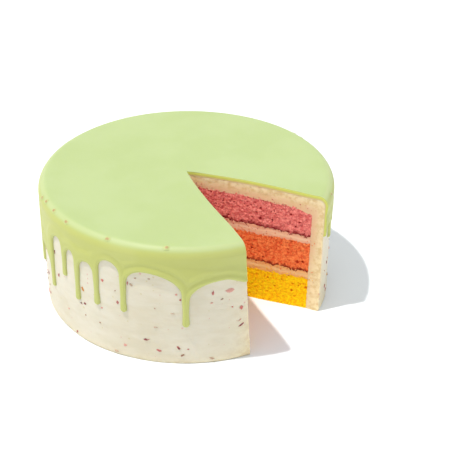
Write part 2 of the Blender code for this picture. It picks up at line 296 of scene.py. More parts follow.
def paint(red, green, blue):
    """A colour from its three values as a screen shows them, 0 to 255."""
    shown = [value / 255 for value in (red, green, blue)]
    return (*[((c + 0.055) / 1.055) ** 2.4 if c > 0.04045 else c / 12.92 for c in shown], 1)


def put(tree, kind, inputs=(), **settings):
    """Adds a node. Each input is a socket to link or a value to set, by its name or number."""
    node = tree.nodes.new("ShaderNode" + kind)
    for name, value in settings.items():
        setattr(node, name, value)
    for name, value in dict(inputs).items():
        if isinstance(value, bpy.types.NodeSocket):
            tree.links.new(value, node.inputs[name])
        else:
            node.inputs[name].default_value = value
    return node


def remap(tree, value, low, high, to_low=0.0, to_high=1.0):
    """The value carried smoothly from one range to another."""
    ranges = {"Value": value, "From Min": low, "From Max": high, "To Min": to_low, "To Max": to_high}
    return put(tree, "MapRange", ranges, interpolation_type="SMOOTHSTEP").outputs["Result"]


def blend(tree, part, first, second):
    """The first colour turning into the second. Sockets 0, 6 and 7 are the node's share and its two
    colours."""
    return put(tree, "Mix", {0: part, 6: first, 7: second}, data_type="RGBA").outputs[2]


def sum_of(tree, first, second, weight=1.0):
    """first + second * weight."""
    return put(tree, "Math", {0: second, 1: weight, 2: first}, operation="MULTIPLY_ADD").outputs[0]


def mark(tree, name):
    """The value that a mesh carries under this name."""
    return put(tree, "Attribute", attribute_name=name).outputs["Fac"]


def object_place(tree):
    """Where a point of the surface lies in the cake, in metres."""
    return put(tree, "TexCoord").outputs["Object"]


def grain_at(tree, place_socket, per_metre, detail=2.0, roughness=0.5):
    """Noise from 0 to 1 with this many grains to the metre."""
    inputs = {"Vector": place_socket, "Scale": per_metre, "Detail": detail, "Roughness": roughness}
    return put(tree, "TexNoise", inputs).outputs["Fac"]


def new_group(name, inputs, outputs):
    """An effect that several finishes share, with its entry and exit."""
    group = bpy.data.node_groups.new(name, "ShaderNodeTree")
    for label, value in inputs.items():
        socket = group.interface.new_socket(label, in_out="INPUT", socket_type="NodeSocketFloat")
        socket.default_value = value
    for label in outputs:
        group.interface.new_socket(label, in_out="OUTPUT", socket_type="NodeSocketFloat")
    return group, group.nodes.new("NodeGroupInput"), group.nodes.new("NodeGroupOutput")


def place_group(tree, group, **inputs):
    """Places a shared effect in a finish, with the finish's own values, and gives its outputs."""
    node = tree.nodes.new("ShaderNodeGroup")
    node.node_tree = group
    for label, value in inputs.items():
        node.inputs[label].default_value = value
    return node.outputs


def new_finish(name, **constants):
    """A material for one piece. The constants are set on the shader's own sockets."""
    material = bpy.data.materials.new(name)
    material.use_nodes = True
    shader = material.node_tree.nodes["Principled BSDF"]
    for label, value in constants.items():
        shader.inputs[label.replace("_", " ")].default_value = value
    return material, material.node_tree, shader


def lay_finish(piece, material, colour, roughness, height, bump):
    """Links a finish's colour, roughness and relief to its shader, and gives it to the piece. The relief's
    full height is `bump` metres."""
    tree = material.node_tree
    shader = tree.nodes["Principled BSDF"]
    tree.links.new(colour, shader.inputs["Base Color"])
    tree.links.new(roughness, shader.inputs["Roughness"])
    relief = put(tree, "Bump", {"Height": height, "Distance": bump, "Strength": 1.0})
    tree.links.new(relief.outputs["Normal"], shader.inputs["Normal"])
    piece.data.materials.append(material)


# Grain of the finish, each kind by how many there are to the metre
FINE_GRAINS = 1500.0
BROAD_GRAINS = 420.0
SHADED_PITS = 780.0
CRUST_AND_SHADE_WOBBLES = 260.0


def crumb_grain():
    """The grain of a sponge: Shade for its mottling, Fine for its relief, and the painted shade of its
    darkest pits."""
    inputs = {"Grains": FINE_GRAINS, "Mottles": BROAD_GRAINS, "Shaded Pits": SHADED_PITS}
    group, entry, leave = new_group("crumb_grain", inputs, ("Shade", "Fine", "Pit Shade"))
    spot = object_place(group)
    fine = grain_at(group, spot, entry.outputs["Grains"], 3.0, 0.6)
    broad = grain_at(group, spot, entry.outputs["Mottles"], 3.0, 0.65)
    cells = put(group, "TexVoronoi", {"Vector": spot, "Scale": entry.outputs["Shaded Pits"], "Randomness": 1.0})
    # Painted shade: small round pits in the crumb, dark like holes in shadow
    pit_shade = remap(group, cells.outputs["Distance"], 0.10, 0.34, 1.0, 0.0)
    shade = sum_of(group, broad, fine, 0.55)
    group.links.new(remap(group, shade, 0.62, 0.94), leave.inputs["Shade"])
    group.links.new(sum_of(group, fine, pit_shade, -0.6), leave.inputs["Fine"])
    group.links.new(pit_shade, leave.inputs["Pit Shade"])
    return group


CRUMB_GRAIN = crumb_grain()
GRAIN_BUMP = 0.0004


def sponge_finish(piece, light, deep, pore_shade, crust_and_shade=None, crust_and_shade_width=0):
    """Cut sponge: a light and a deep tone in its mottling, with painted shade in its pits and where its
    crumb lies deepest. Where it has a crust, a dark line is painted along its underside, unevenly up to
    about the
    given width in millimetres: browned skin, and painted shadow of the gap under the sponge."""
    material, tree, _ = new_finish(
        piece.name, Subsurface_Weight=0.12, Subsurface_Radius=(1.0, 0.5, 0.3), Subsurface_Scale=0.002,
        Specular_IOR_Level=0.15,
    )
    grain = place_group(tree, CRUMB_GRAIN, Grains=FINE_GRAINS)
    colour = blend(tree, grain["Shade"], deep, light)
    # Painted shade: the pits, and the places where the cut crumb lies deep, are darkened towards the pore
    # colour
    colour = blend(tree, remap(tree, grain["Pit Shade"], 0.0, 1.0, 0.0, 0.5), colour, pore_shade)
    colour = blend(tree, remap(tree, mark(tree, "depth"), 0.22, 0.85, 0.0, 0.95), colour, pore_shade)
    # The dark line along the underside is browned skin and painted shadow of the gap under the sponge
    if crust_and_shade:
        wobble = grain_at(tree, object_place(tree), CRUST_AND_SHADE_WOBBLES, 3.0, 0.65)
        edge = sum_of(tree, mark(tree, "to_underside"), wobble, -2.2 * crust_and_shade_width)
        browned_and_shaded = remap(tree, edge, -0.9 * crust_and_shade_width, 0.35 * crust_and_shade_width, 1.0, 0.0)
        colour = blend(tree, browned_and_shaded, colour, crust_and_shade)
    roughness = remap(tree, grain["Fine"], 0.0, 1.0, 0.95, 0.8)
    lay_finish(piece, material, colour, roughness, grain["Fine"], GRAIN_BUMP)


yellow = sponge_round("yellow_sponge_crumb", 0, YELLOW_TOP, 0.31)
# Its pore colour is painted shade in the crumb; it has no crust line
sponge_finish(yellow, paint(255, 219, 9), paint(255, 189, 5), paint(230, 128, 2))
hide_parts("sponge_yellow")

# Lower filling: buttercream spread over the bottom sponge with a palette knife. The cutting knife dragged
# it smooth along the cut, and left a few holes and streaks in it.

LOWER_CREAM_TOP = 0.0325
FILLING_LEVELS = 16
FILLING_OVERLAP = 0.00015
STAIN_REACH = 0.0024
LOWER_EDGE_SHIFT = 1

# Cut cream: how far it lies behind the knife's plane, and the depth of the streaks in it, with how many
# there are to the metre along the cut and up it; and the holes of trapped air. The shifts tell the two
# faces apart.
CREAM_BEHIND = 0.00028
DRAG_DEPTH = 0.00042
STREAKS_ALONG = 150
STREAKS_UP = 620
FIRST_FACE_STREAKS = 7
STREAK_SHIFT = 31
HOLE_SPACING = 0.0052
HOLE_RADIUS = 0.0008
HOLE_DEPTH = 0.0006
HOLE_SHIFT = 0.077


def dragged(radius, height, part):
    """How far cut cream lies behind the knife's plane: streaks along the cut, and small holes."""
    face = FIRST_FACE_STREAKS + STREAK_SHIFT * part
    streak = uneven(Vector((radius * STREAKS_ALONG, height * STREAKS_UP, face)), 0.8, 3)
    inside = in_hole(Vector((radius, height, part * HOLE_SHIFT)), HOLE_SPACING, HOLE_RADIUS)
    return CREAM_BEHIND + DRAG_DEPTH * max(0.5 + 0.5 * streak, 0) + HOLE_DEPTH * math.sqrt(inside)


def filling_round(name, bottom, top):
    """A filling, pressed a little into the sponges below and above it, and stained by them on the cut."""

    def point(ring, part, level):
        angle = mix(START_TOP, END_TOP, part)
        radius = SPONGE_RADIUS * ring / SPONGE_RINGS
        low = layer_height(bottom, radius, angle) - FILLING_OVERLAP
        low -= torn(radius + LOWER_EDGE_SHIFT, bottom, part)
        high = layer_height(top, radius, angle) + FILLING_OVERLAP
        height = mix(low, high, level / FILLING_LEVELS)
        depth = dragged(radius, height, part) if part in (0, 1) else 0
        stain = math.exp(-min(height - low, high - height) / STAIN_REACH)
        return behind_knife(place(angle, radius, height), part, depth), (1, stain)

    return closed_round(name, SPONGE_RINGS, FILLING_LEVELS, layer_strips, point, ("cut", "stain"))


# What shows in the cream, each kind by how many there are to the metre, and how much flatter its marks lie
KNIFE_PASSES = 55.0
KNIFE_LINES = 240.0
TONE_DRIFTS = 17.0
FRUIT_BITS = 210.0
BIT_EDGES = 1100.0
CUT_PATCHES = 230.0
LYING_FLAT = (1.0, 1.0, 3.0)
LINE_BUMP = 0.00016


def spread_marks():
    """What a palette knife leaves in cream: Shade for its drift of tone, Lines for the fine relief of its
    passes, Spots for bits of fruit under its skin and Kind for what each of them is."""
    inputs = {"Passes": KNIFE_PASSES, "Bits": FRUIT_BITS}
    group, entry, leave = new_group("spread_marks", inputs, ("Shade", "Lines", "Spots", "Kind"))
    spot = object_place(group)
    flat = put(group, "Mapping", {"Vector": spot, "Scale": LYING_FLAT}).outputs["Vector"]
    passes = grain_at(group, flat, entry.outputs["Passes"], 5.0, 0.6)
    lines = grain_at(group, flat, KNIFE_LINES, 4.0, 0.6)
    bits = put(group, "TexVoronoi", {"Vector": spot, "Scale": entry.outputs["Bits"], "Randomness": 1.0})
    ragged = sum_of(group, bits.outputs["Distance"], grain_at(group, spot, BIT_EDGES, 3.0, 0.6), 0.22)
    chance = put(group, "SeparateColor", {"Color": bits.outputs["Color"]})
    reach = remap(group, chance.outputs["Red"], 0.3, 1.0, 0.08, 0.32)
    over = put(group, "Math", {0: reach, 1: ragged}, operation="SUBTRACT").outputs[0]
    drift = grain_at(group, spot, TONE_DRIFTS, 2.0, 0.5)
    group.links.new(remap(group, sum_of(group, passes, drift, 0.8), 0.6, 1.15), leave.inputs["Shade"])
    group.links.new(lines, leave.inputs["Lines"])
    group.links.new(remap(group, over, 0.0, 0.07), leave.inputs["Spots"])
    group.links.new(chance.outputs["Green"], leave.inputs["Kind"])
    return group


SPREAD_MARKS = spread_marks()
CREAM_LIGHT = paint(216, 208, 188)
CREAM_DEEP = paint(207, 197, 172)
ROSE_BIT = paint(206, 142, 132)
PEEL_BIT = paint(196, 182, 128)


def cream_finish(piece, cut_light, cut_deep, stained, bit_strength):
    """Buttercream: a satin skin on the outside, and a warmer, patchy face where it was cut, stained by the
    crumb next to it. The bits of fruit in it show with this strength, from 0 to 1."""
    material, tree, _ = new_finish(
        piece.name, Subsurface_Weight=0.25, Subsurface_Radius=(1.0, 0.7, 0.45), Subsurface_Scale=0.003
    )
    spread = place_group(tree, SPREAD_MARKS, Passes=KNIFE_PASSES, Bits=FRUIT_BITS)
    patch = grain_at(tree, object_place(tree), CUT_PATCHES, 4.0, 0.65)
    outside = blend(tree, spread["Shade"], CREAM_DEEP, CREAM_LIGHT)
    inside = blend(tree, remap(tree, patch, 0.34, 0.66), cut_deep, cut_light)
    reach = sum_of(tree, mark(tree, "stain"), patch, 1.1)
    inside = blend(tree, remap(tree, reach, 0.45, 1.4), inside, stained)
    # On the coat's outside the mark is below 1, and paints part of the cut's warm tone there as a glow of
    # light through the cream
    colour = blend(tree, mark(tree, "cut"), outside, inside)
    bits = blend(tree, remap(tree, spread["Kind"], 0.45, 0.6), ROSE_BIT, PEEL_BIT)
    colour = blend(tree, remap(tree, spread["Spots"], 0.0, 1.0, 0.0, bit_strength), colour, bits)
    roughness = remap(tree, patch, 0.3, 0.7, 0.42, 0.56)
    lay_finish(piece, material, colour, roughness, spread["Lines"], LINE_BUMP)


lower_filling = filling_round("lower_buttercream_filling", YELLOW_TOP, LOWER_CREAM_TOP)
cream_finish(lower_filling, paint(244, 216, 160), paint(230, 184, 120), paint(228, 160, 94), 0.5)
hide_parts("cream_lower")

# Middle sponge: a round of orange sponge, baked like the first and laid on the lower filling. The thin
# browned skin of its baking was left on its underside, and its dark line there is painted together with the
# shadow of the gap under it.

ORANGE_TOP = 0.0545

orange = sponge_round("orange_sponge_crumb", LOWER_CREAM_TOP, ORANGE_TOP, 0.57)
# Its pore colour is painted shade in the crumb, and its dark crust line is browned skin painted together
# with the shadow of the gap under it
sponge_finish(orange, paint(254, 143, 81), paint(229, 95, 48), paint(182, 50, 20), paint(132, 36, 18), 2.4)
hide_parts("sponge_orange")

# Upper filling: the same buttercream, spread over the middle sponge. It is a little thinner than the lower
# one, and takes its stain from the pink crumb above it.

UPPER_CREAM_TOP = 0.0615

upper_filling = filling_round("upper_buttercream_filling", ORANGE_TOP, UPPER_CREAM_TOP)
cream_finish(upper_filling, paint(244, 216, 182), paint(232, 188, 150), paint(230, 170, 136), 0.5)
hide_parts("cream_upper")

# Top sponge: a round of pink sponge that rose in its tin, so its upper shoulders are rounded. Its browned
# skin is darker than the orange one's, and is painted together with the shadow of the gap under it.

pink = sponge_round("pink_sponge_crumb", UPPER_CREAM_TOP, PINK_TOP, 0.83)
# Its pore colour is painted shade in the crumb, and its dark crust line is browned skin painted together
# with the shadow of the gap under it
sponge_finish(pink, paint(252, 152, 139), paint(215, 101, 96), paint(164, 44, 46), paint(126, 26, 30), 2.6)
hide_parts("sponge_pink")

# Coat: buttercream on top of and round the layers, drawn smooth with a palette knife held against the side.
# It keeps the long level passes of the knife, the edges of strokes that ended early, a few creases and
# small dents.

TOP_GLAZE = 0.0026
SIDE_GLAZE = 0.0017
CREAM_EDGE = 0.0050
COAT_TOP = CAKE_HEIGHT - TOP_GLAZE - GAP
COAT_RADIUS = CAKE_RADIUS - SIDE_GLAZE - GAP
COAT_FOOT_RADIUS = COAT_RADIUS + 0.0005
EDGE_FOOT = COAT_TOP - CREAM_EDGE
FOOT_ROUND = 0.0016

# Strips of the coat's mesh: out under the glaze, over the rounded edge, down the side, and through the
# cream, then round the cake on the side that shows and where it is hidden
COAT_TOP_RINGS = 88
COAT_EDGE_RINGS = 5
COAT_SIDE_RINGS = 66
COAT_RINGS = COAT_TOP_RINGS + COAT_EDGE_RINGS + COAT_SIDE_RINGS
COAT_LEVELS = 11
COAT_STRIPS = 400
COAT_HIDDEN_STRIPS = 48

# Relief of the side: the broad passes and the fine lines, each with how many there are to the metre along
# the side and up it, and the dents; and how much calmer it all is within some degrees of the cut
PASS_DEPTH = 0.00026
PASSES_ALONG = 28
PASSES_UP = 80
LINE_DEPTH = 0.00005
LINES_ALONG = 60
LINES_UP = 520
DENT_SPACING = 0.0085
DENT_RADIUS = 0.0011
DENT_DEPTH = 0.00035
CALM_AT_CUT = math.radians(1.5)
CALMEST = 0.35

# The cream's outside is painted with a warm glow of light coming through it at its foot and next to the
# cut, partly the crumb's colour showing through: how much there, over what distance that fades, how much
# it is by the height up to the glaze, and the most of it outside
GLOW_AT_FOOT = 0.45
GLOW_FADE_AT_FOOT = 0.0035
GLOW_LOW = 0.7
GLOW_HIGH = 0.2
GLOW_TOP = 0.060
GLOW_REACH = 0.0110
BRIGHTEST_GLOW = 0.6

# The crumb's stain in the cut cream: how fast it fades outward, and how much less of it there is low down
STAIN_FALL = 1.6
STAIN_LOW = 0.3
STAIN_RISE = 0.04

# Strokes that ended early, each by the angles of its two ends in degrees, the height of its edge there and
# the rise in its middle; with how far the cream is lower above the edge, over what height that begins and
# fades
STROKES = (
    (248.5, 267.5, 0.0592, 0.0034), (20.0, 47.0, 0.0480, 0.0030),
    (112.0, 131.0, 0.0350, -0.0040), (158.0, 180.0, 0.0560, 0.0025),
)
STROKE_DEPTH = 0.00042
STROKE_EDGE = 0.0007
STROKE_FADE = 0.0095

# Creases left by the knife's tip, from the upper to the lower end, in degrees and metres
CREASES = ((270.8, 0.0310, 274.9, 0.0010), (66.0, 0.0300, 71.0, 0.0030), (141.0, 0.0400, 136.0, 0.0120))
CREASE_DEPTH = 0.00040
CREASE_WIDTH = 0.0012


def wall_radius(height):
    """The cream's side, a little wider at the foot."""
    return mix(COAT_FOOT_RADIUS, COAT_RADIUS, min(height / EDGE_FOOT, 1))


def tapered(along):
    """Full along a knife mark, fading over the quarter at each end."""
    return ease(4 * along) * ease(4 * (1 - along))


def stroke_depth(angle, height):
    """How far the cream lies lower above the edge of a stroke that ended early."""
    depth = 0
    for start, end, foot, rise in STROKES:
        along = (angle - math.radians(start)) / math.radians(end - start)
        if 0 < along < 1:
            over = height - foot - rise * math.sin(math.pi * along)
            edge = ease(over / STROKE_EDGE + 0.5) * (1 - ease(over / STROKE_FADE))
            depth += STROKE_DEPTH * edge * tapered(along)
    return depth


def crease_depth(angle, height):
    """How deep the creases are at a place of the side."""
    depth = 0
    for top_angle, top_height, foot_angle, foot_height in CREASES:
        along = (top_height - height) / (top_height - foot_height)
        if 0 < along < 1:
            middle = math.radians(mix(top_angle, foot_angle, along))
            aside = (angle - middle) * CAKE_RADIUS / CREASE_WIDTH
            depth += CREASE_DEPTH * math.exp(-aside * aside) * tapered(along)
    return depth


def side_relief(angle, height):
    """How far the side stands out from an even wall."""
    along = angle * CAKE_RADIUS
    broad = uneven(Vector((along * PASSES_ALONG, height * PASSES_UP, 3.1)), 0.9, 4)
    lines = noise.noise(Vector((along * LINES_ALONG, height * LINES_UP, 8.4)))
    dent = in_hole(Vector((along, height, 0.005)), DENT_SPACING, DENT_RADIUS)
    relief = PASS_DEPTH * broad + LINE_DEPTH * lines - DENT_DEPTH * ease(dent)
    relief -= stroke_depth(angle, height) + crease_depth(angle, height)
    to_cut = min(angle - START_TOP, END_TOP - angle)
    return relief * mix(CALMEST, 1, ease(to_cut / CALM_AT_CUT))


def coat_outside(ring, angle):
    """(radius, height) of the coat's outer skin."""
    if ring <= COAT_TOP_RINGS:
        return (COAT_RADIUS - CREAM_EDGE) * ring / COAT_TOP_RINGS, COAT_TOP
    turn = math.pi / 2 * (ring - COAT_TOP_RINGS) / COAT_EDGE_RINGS
    if ring <= COAT_TOP_RINGS + COAT_EDGE_RINGS:
        return COAT_RADIUS - CREAM_EDGE * (1 - math.sin(turn)), EDGE_FOOT + CREAM_EDGE * math.cos(turn)
    down = (ring - COAT_TOP_RINGS - COAT_EDGE_RINGS) / COAT_SIDE_RINGS
    height = EDGE_FOOT * (1 - down)
    foot = max(0, 1 - height / FOOT_ROUND)
    return wall_radius(height) - FOOT_ROUND / 2 * foot * foot + side_relief(angle, height), height


def coat_inside(ring, angle):
    """(radius, height) of the coat's inner skin, which lies on the top sponge and round all the layers."""
    out = min(ring / COAT_TOP_RINGS, 1)
    height = layer_height(PINK_TOP, SPONGE_RADIUS * out, angle) - FILLING_OVERLAP
    down = max(0, ring - COAT_TOP_RINGS) / (COAT_RINGS - COAT_TOP_RINGS)
    return (SPONGE_RADIUS - FILLING_OVERLAP) * out, height * (1 - down)


def coat_strips(ring, level):
    """Fine strips where the side shows, and wide ones under the glaze and inside."""
    shows = level == COAT_LEVELS and ring > COAT_TOP_RINGS
    return COAT_STRIPS if shows else COAT_HIDDEN_STRIPS


def coat_point(ring, part, level):
    """A point of the coat with its marks: how far it has the tone of cut cream, which on the outside is a
    painted warm glow, and the stain of the crumb."""
    angle = mix(START_TOP, END_TOP, part)
    out = level / COAT_LEVELS
    inner_radius, inner_height = coat_inside(ring, angle)
    outer_radius, outer_height = coat_outside(ring, angle)
    radius = mix(inner_radius, outer_radius, out)
    height = mix(inner_height, outer_height, out)
    depth = dragged(radius, height, part) if part in (0, 1) else 0
    to_cut = min(angle - START_TOP, END_TOP - angle) * CAKE_RADIUS
    # Painted warm glow of light coming through the cream at the foot and by the cut, partly the crumb's
    # colour showing through
    glow_by_cut = mix(GLOW_LOW, GLOW_HIGH, min(height / GLOW_TOP, 1)) * math.exp(-to_cut / GLOW_REACH)
    glow = GLOW_AT_FOOT * math.exp(-height / GLOW_FADE_AT_FOOT) + glow_by_cut
    cut_tone_and_glow = 1 if part in (0, 1) and level < COAT_LEVELS else min(glow, BRIGHTEST_GLOW)
    stain = (1 - out) ** STAIN_FALL * mix(STAIN_LOW, 1, ease((height - YELLOW_TOP) / STAIN_RISE))
    return behind_knife(place(angle, radius, height), part, depth), (cut_tone_and_glow, stain)


coat = closed_round("buttercream_coat", COAT_RINGS, COAT_LEVELS, coat_strips, coat_point, ("cut", "stain"))
cream_finish(coat, paint(242, 230, 186), paint(219, 192, 138), paint(226, 188, 146), 0.6)
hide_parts("cream_coat")

# Glaze: thin white-chocolate ganache, tinted pale green and poured over the chilled cake. It levelled
# itself on top, rolled over the edge and ran down in drips, each rounded at its lip and fuller at its tip.

# Its cross-section, the half widths of a drip from its neck to its tip, and the arches between the drips:
# how deep their round is, by how wide they are, and how much of a drip it takes at most; and the lip's
# height at the cut

LIP_ROUND = 0.0025
GLAZE_SINK = 0.0003
NECK = 0.0026
WAIST = 0.0021
BULB = 0.0025
ARCH_DEPTH = 0.0050
ARCH_SLOPE = 0.45
MOST_OF_DRIP = 0.6
WAIST_PART = 0.6
LIP_AT_CUT = 0.064

# The drips and arches on the front left, in degrees and metres, from the far left round to the cut
FRONT_DRIPS = (
    (190.5, 0.030), (207.8, 0.027), (218.3, 0.047), (226.2, 0.034),
    (236.1, 0.038), (247.7, 0.039), (270.9, 0.032),
)
FRONT_ARCHES = (
    (197.5, 0.054), (215.0, 0.0755), (223.1, 0.0725), (231.9, 0.070),
    (241.8, 0.078), (256.0, 0.0748), (285.0, 0.069),
)

# Those round the back, by a seeded rule: the first arch and drip after the cut, the share of an even step
# from one drip to the next, where the arch stands between them, and the heights of tips and of arches
BACK_SEED = 11
BACK_DRIPS = 16
FIRST_ARCH = START_TOP + math.radians(4)
FIRST_DRIP = START_TOP + math.radians(8)
BACK_STEPS = (0.55, 1.45)
BACK_MIDDLES = (0.4, 0.6)
BACK_TIPS = (0.026, 0.056)
BACK_ARCHES = (0.064, 0.078)

# Strips of the glaze's mesh: rings and strips of its level top, which ends at a radius; steps over the
# edge; the rows down the band, closer and closer to the lip; steps along a drip's arch, shank and tip and
# along the lip at the cut; how late a row across a drip bends; the fewest strips across a drip and the
# widest; the spacing of the points that the distance to the lip is measured from; and levels through the
# glaze at the cut
TOP_RINGS = 24
TOP_STRIPS = 120
TOP_REACH = 0.098
EDGE_STEPS = 9
BAND_PARTS = (
    0.1, 0.2, 0.3, 0.4, 0.48, 0.56, 0.63, 0.69, 0.745,
    0.795, 0.84, 0.88, 0.915, 0.945, 0.97, 0.988, 1,
)
ARCH_STEPS = 9
SHANK_STEPS = 9
TIP_STEPS = 6
LIP_STEPS = 9
ROW_BEND = 4
FEWEST_STRIPS = 12
WIDEST_STRIP = math.radians(0.62)
LIP_SAMPLE = 0.0001
GLAZE_LEVELS = 4

# The fold between the bead of the lip and the ridge above it: its depth, its distance from the lip with how
# far and how often that drifts, its width, and how often it comes and goes
FOLD_DEPTH = 0.00085
FOLD_FROM_LIP = 0.0046
FOLD_DRIFT = 0.0016
DRIFTS_ALONG = 35
DRIFTS_UP = 20
FOLD_WIDTH = 0.0023
FOLD_PER_METRE = 16
FOLD_SEED = 4.44

# The film's own unevenness: how far it thins above that ridge, and over what distances; its slow waves on
# the side and on top, with how many there are to the metre; and how far its corner at the cut is rounded
BAND_THINNING = 0.00065
THIN_FROM_LIP = 0.0072
THIN_OVER = 0.0035
FULL_TO_EDGE = 0.0085
BAND_WAVE = 0.00022
WAVES_ALONG = 30
WAVES_UP = 55
TOP_WAVE = 0.00025
TOP_WAVES = 24
SOFT_CORNER = 0.00045

# How the face leaves the cream at the lip: the share of the way out right next to it, and over what
# distance the face gets all the way
LIP_START = 0.35
LIP_RISE = 0.0004

# The mark for how level the glaze lies goes on below 0, from the outer corner of the cut edge to the back
CUT_LEVEL = -1
BACK_LEVEL = -2

# Points nearer to each other than this are one, and an angle between the two faces of the cut
SAME_PLACE = 1e-7
IN_THE_CUT = START_FOOT - 0.2


def whole_rim():
    """The drips as (angle, height of the tip) and the arches as (angle, height of the top), in radians and
    metres, from the cut round the back and the front to the cut again."""
    draw = random.Random(BACK_SEED)
    last = math.radians(FRONT_DRIPS[0][0])
    steps = [draw.uniform(*BACK_STEPS) for _ in range(BACK_DRIPS)]
    drips = []
    for k in range(BACK_DRIPS):
        angle = mix(FIRST_DRIP, last, sum(steps[:k]) / sum(steps))
        drips.append((angle, draw.uniform(*BACK_TIPS)))
    arches = [(FIRST_ARCH, mix(*BACK_ARCHES, 0.5))]
    for k in range(BACK_DRIPS):
        after = drips[k + 1][0] if k + 1 < BACK_DRIPS else last
        middle = mix(drips[k][0], after, draw.uniform(*BACK_MIDDLES))
        arches.append((middle, draw.uniform(*BACK_ARCHES)))
    drips += [(math.radians(angle), tip) for angle, tip in FRONT_DRIPS]
    arches += [(math.radians(angle), top) for angle, top in FRONT_ARCHES]
    return drips, arches


def drip_side(arch, drip, side):
    """One side of a drip, as (angle, height) points from the top of the arch beside it down to its tip."""
    arch_angle, arch_top = arch
    drip_angle, tip = drip
    neck = drip_angle + side * NECK / CAKE_RADIUS
    reach = abs(arch_angle - neck) * CAKE_RADIUS
    depth = min(ARCH_DEPTH + ARCH_SLOPE * reach, MOST_OF_DRIP * (arch_top - tip))
    points = []
    for step in range(ARCH_STEPS + 1):
        turn = math.pi / 2 * step / ARCH_STEPS
        points.append((mix(arch_angle, neck, math.sin(turn)), arch_top - depth * (1 - math.cos(turn))))
    for step in range(1, SHANK_STEPS + 1):
        down = step / SHANK_STEPS
        if down < WAIST_PART:
            half = mix(NECK, WAIST, ease(down / WAIST_PART))
        else:
            half = mix(WAIST, BULB, ease((down - WAIST_PART) / (1 - WAIST_PART)))
        points.append((drip_angle + side * half / CAKE_RADIUS, mix(arch_top - depth, tip + BULB, down)))
    for step in range(1, TIP_STEPS + 1):
        turn = math.pi / 2 * step / TIP_STEPS
        half = BULB * math.cos(turn)
        points.append((drip_angle + side * half / CAKE_RADIUS, tip + BULB * (1 - math.sin(turn))))
    return points


def lip_run(angle_a, height_a, angle_b, height_b):
    """The lip between the cut and the arch next to it."""
    parts = [step / LIP_STEPS for step in range(LIP_STEPS + 1)]
    return [(mix(angle_a, angle_b, part), mix(height_a, height_b, ease(part))) for part in parts]


def row_height(height_a, height_b, part):
    """The height along a row across a drip. It leaves the higher end level, so that it stays inside the
    lip."""
    if height_b > height_a:
        return mix(height_a, height_b, 1 - (1 - part) ** ROW_BEND)
    return mix(height_a, height_b, part ** ROW_BEND)


def glaze_outline():
    """The lip as one line of (angle, height) points, the columns of the band, and each drip's rows of
    points."""
    drips, arches = whole_rim()
    start = lip_run(START_TOP, LIP_AT_CUT, *arches[0])
    end = lip_run(*arches[-1], END_TOP, LIP_AT_CUT)
    lip = list(start)
    band = list(start)
    petals = []
    for left, drip, right in zip(arches, drips, arches[1:]):
        left_side = drip_side(left, drip, -1)
        right_side = drip_side(right, drip, 1)
        count = max(FEWEST_STRIPS, math.ceil((right[0] - left[0]) / WIDEST_STRIP))
        across = [(1 - math.cos(math.pi * step / count)) / 2 for step in range(count + 1)]
        rows = []
        for (angle_a, height_a), (angle_b, height_b) in zip(left_side, right_side):
            heights = [row_height(height_a, height_b, part) for part in across]
            rows.append([(mix(angle_a, angle_b, part), height) for part, height in zip(across, heights)])
        petals.append(rows)
        band += rows[0][1:]
        lip += left_side[1:] + right_side[-2::-1]
    return lip + end[1:], band + end[1:], petals


def rounded(angle, height):
    """A point of the side with its last digits cut off, so that it can be told from others."""
    return round(angle, 8), round(height, 8)


GLAZE_LIP, GLAZE_BAND, GLAZE_PETALS = glaze_outline()
LIP_POINTS = {rounded(*spot) for spot in GLAZE_LIP}


def lip_finder():
    """A search tree over the lip, laid out flat."""
    samples = []
    for (angle_a, height_a), (angle_b, height_b) in zip(GLAZE_LIP, GLAZE_LIP[1:]):
        length = math.hypot((angle_b - angle_a) * CAKE_RADIUS, height_b - height_a)
        count = max(1, math.ceil(length / LIP_SAMPLE))
        for step in range(count + 1):
            part = step / count
            samples.append((mix(angle_a, angle_b, part) * CAKE_RADIUS, mix(height_a, height_b, part), 0))
    tree = kdtree.KDTree(len(samples))
    for k, sample in enumerate(samples):
        tree.insert(sample, k)
    tree.balance()
    return tree


LIP_FINDER = lip_finder()


def to_lip(angle, height):
    """How far a point of the side is from the glaze's lip, along the surface."""
    return LIP_FINDER.find((angle * CAKE_RADIUS, height, 0))[2]


def glaze_thickness(distance):
    """Full thickness on the side, rolling off to nothing at the lip."""
    short = 1 - min(distance / LIP_ROUND, 1)
    return SIDE_GLAZE * math.sqrt(1 - short * short)


def fold_depth(along, height, distance):
    """How deep the fold above the lip is. It drifts nearer and farther, and comes and goes along the
    side."""
    drift = FOLD_DRIFT * noise.noise(Vector((along * DRIFTS_ALONG, height * DRIFTS_UP, 2.5)))
    across = (distance - FOLD_FROM_LIP - drift) / FOLD_WIDTH
    there = ease(0.4 + 1.5 * noise.noise(Vector((along * FOLD_PER_METRE, FOLD_SEED, 1.7))))
    return FOLD_DEPTH * math.exp(-across * across) * there


def glaze_side(angle, height, proud):
    """(radius, height) of the glaze's face on the side or, unless proud, of its back, which clings to the
    cream."""
    back = wall_radius(height) - GLAZE_SINK
    if not proud or rounded(angle, height) in LIP_POINTS:
        return back, height
    distance = to_lip(angle, height)
    along = angle * CAKE_RADIUS
    above = ease((distance - THIN_FROM_LIP) / THIN_OVER)
    wave = 0.5 + 0.5 * uneven(Vector((along * WAVES_ALONG, height * WAVES_UP, 5.5)), 1.0, 2)
    thinning = above * ease((EDGE_FOOT - height) / FULL_TO_EDGE) * (BAND_THINNING + BAND_WAVE * wave)
    thinning += fold_depth(along, height, distance)
    face = wall_radius(height) + GAP + glaze_thickness(distance) - thinning
    return mix(back, face, ease(distance / LIP_RISE + LIP_START)), height


